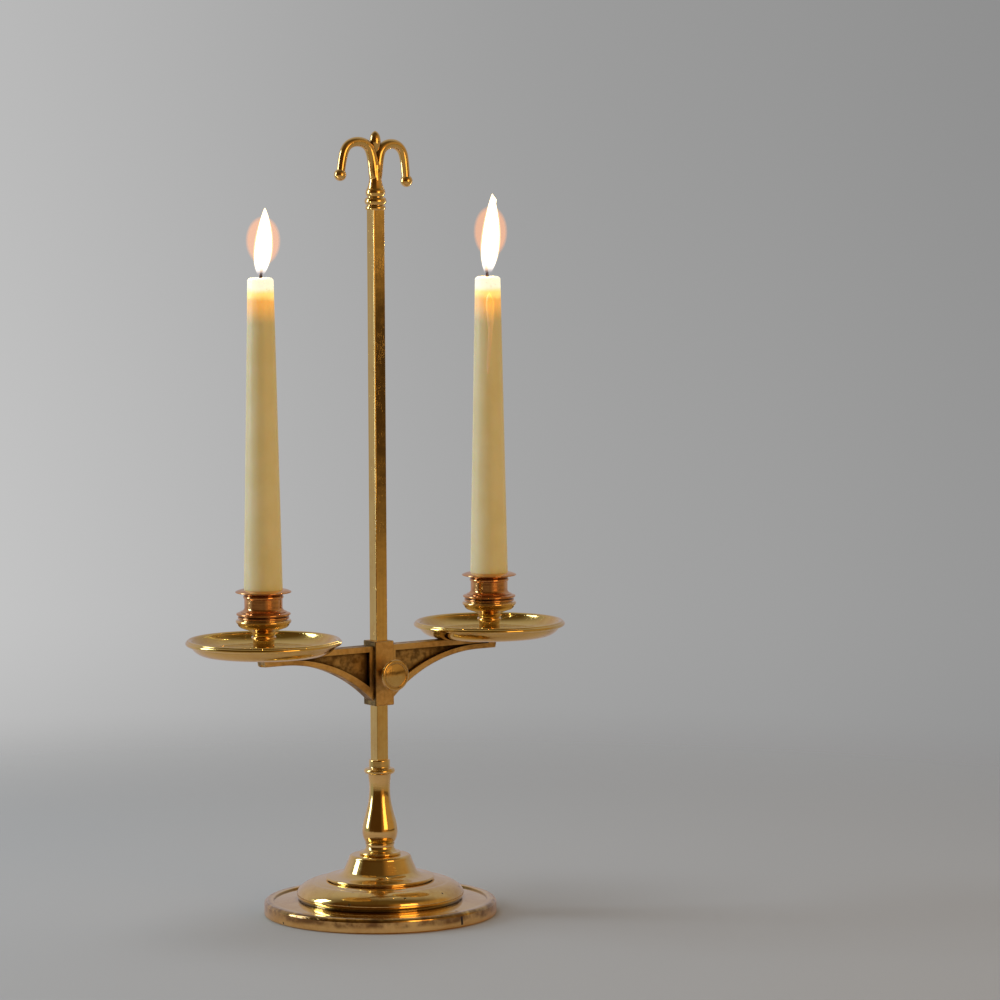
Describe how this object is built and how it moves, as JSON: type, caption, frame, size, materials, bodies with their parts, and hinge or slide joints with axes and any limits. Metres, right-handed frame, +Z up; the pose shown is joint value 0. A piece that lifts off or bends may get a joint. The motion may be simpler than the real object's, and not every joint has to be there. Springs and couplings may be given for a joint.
{
  "type": "student lamp",
  "caption": "Brass candle lamp: a two-armed bracket with drip pans and candle nozzles slides on a square rod over a domed round base, held by a thumbscrew, under a double-hook finial.",
  "frame": {"origin": "centre of the base's underside, on the rod's axis", "axes": "+Z up along the square rod, the two arms along -X and +X, the thumbscrew on the sleeve's face towards -Y"},
  "size_m": [0.2466, 0.136, 0.457],
  "materials": {
    "brass": "polished",
    "red_brass": "polished",
    "wax": "satin",
    "wick": "matte"
  },
  "bodies": {
    "stand": {"base_casting": "brass", "bell_cap": "brass", "baluster": "brass", "square_rod": "brass", "base_washer": "brass", "base_nut": "brass", "finial_collar": "brass", "finial_hooks": "brass"},
    "bracket": {"bracket_sleeve": "brass", "arm_left": "brass", "arm_right": "brass", "drip_pan_left": "brass", "drip_pan_right": "brass", "socket_stem_left": "brass", "socket_stem_right": "brass", "socket_screw_left": "brass", "socket_screw_right": "brass", "nozzle_left": "red_brass", "nozzle_right": "red_brass"},
    "pad": {"screw_pad": "brass"},
    "thumbscrew": {"thumbscrew": "brass"},
    "candle_left": {"candle_left": "wax", "wick_left": "wick"},
    "candle_right": {"candle_right": "wax", "wick_right": "wick"}
  },
  "joints": [
    {"name": "bracket_slide", "type": "slide", "parent": "stand", "child": "bracket", "axis": [0, 0, 1], "range_m": [-0.032, 0.25]},
    {"name": "pad_travel", "type": "slide", "parent": "bracket", "child": "pad", "axis": [0, -1, 0], "range_m": [0, 0.00162]},
    {"name": "thumbscrew_turn", "type": "hinge", "parent": "pad", "child": "thumbscrew", "pos_m": [0, -0.01, 0.14205], "axis": [0, -1, 0], "range_deg": [0, 720]},
    {"name": "candle_left_lift", "type": "slide", "parent": "bracket", "child": "candle_left", "axis": [0, 0, 1], "range_m": [0, 0.02]},
    {"name": "candle_right_lift", "type": "slide", "parent": "bracket", "child": "candle_right", "axis": [0, 0, 1], "range_m": [0, 0.02]}
  ],
  "couplings": [
    {"joint": "pad_travel", "follows": "thumbscrew_turn", "m_per_rad": 0.00012732}
  ]
}
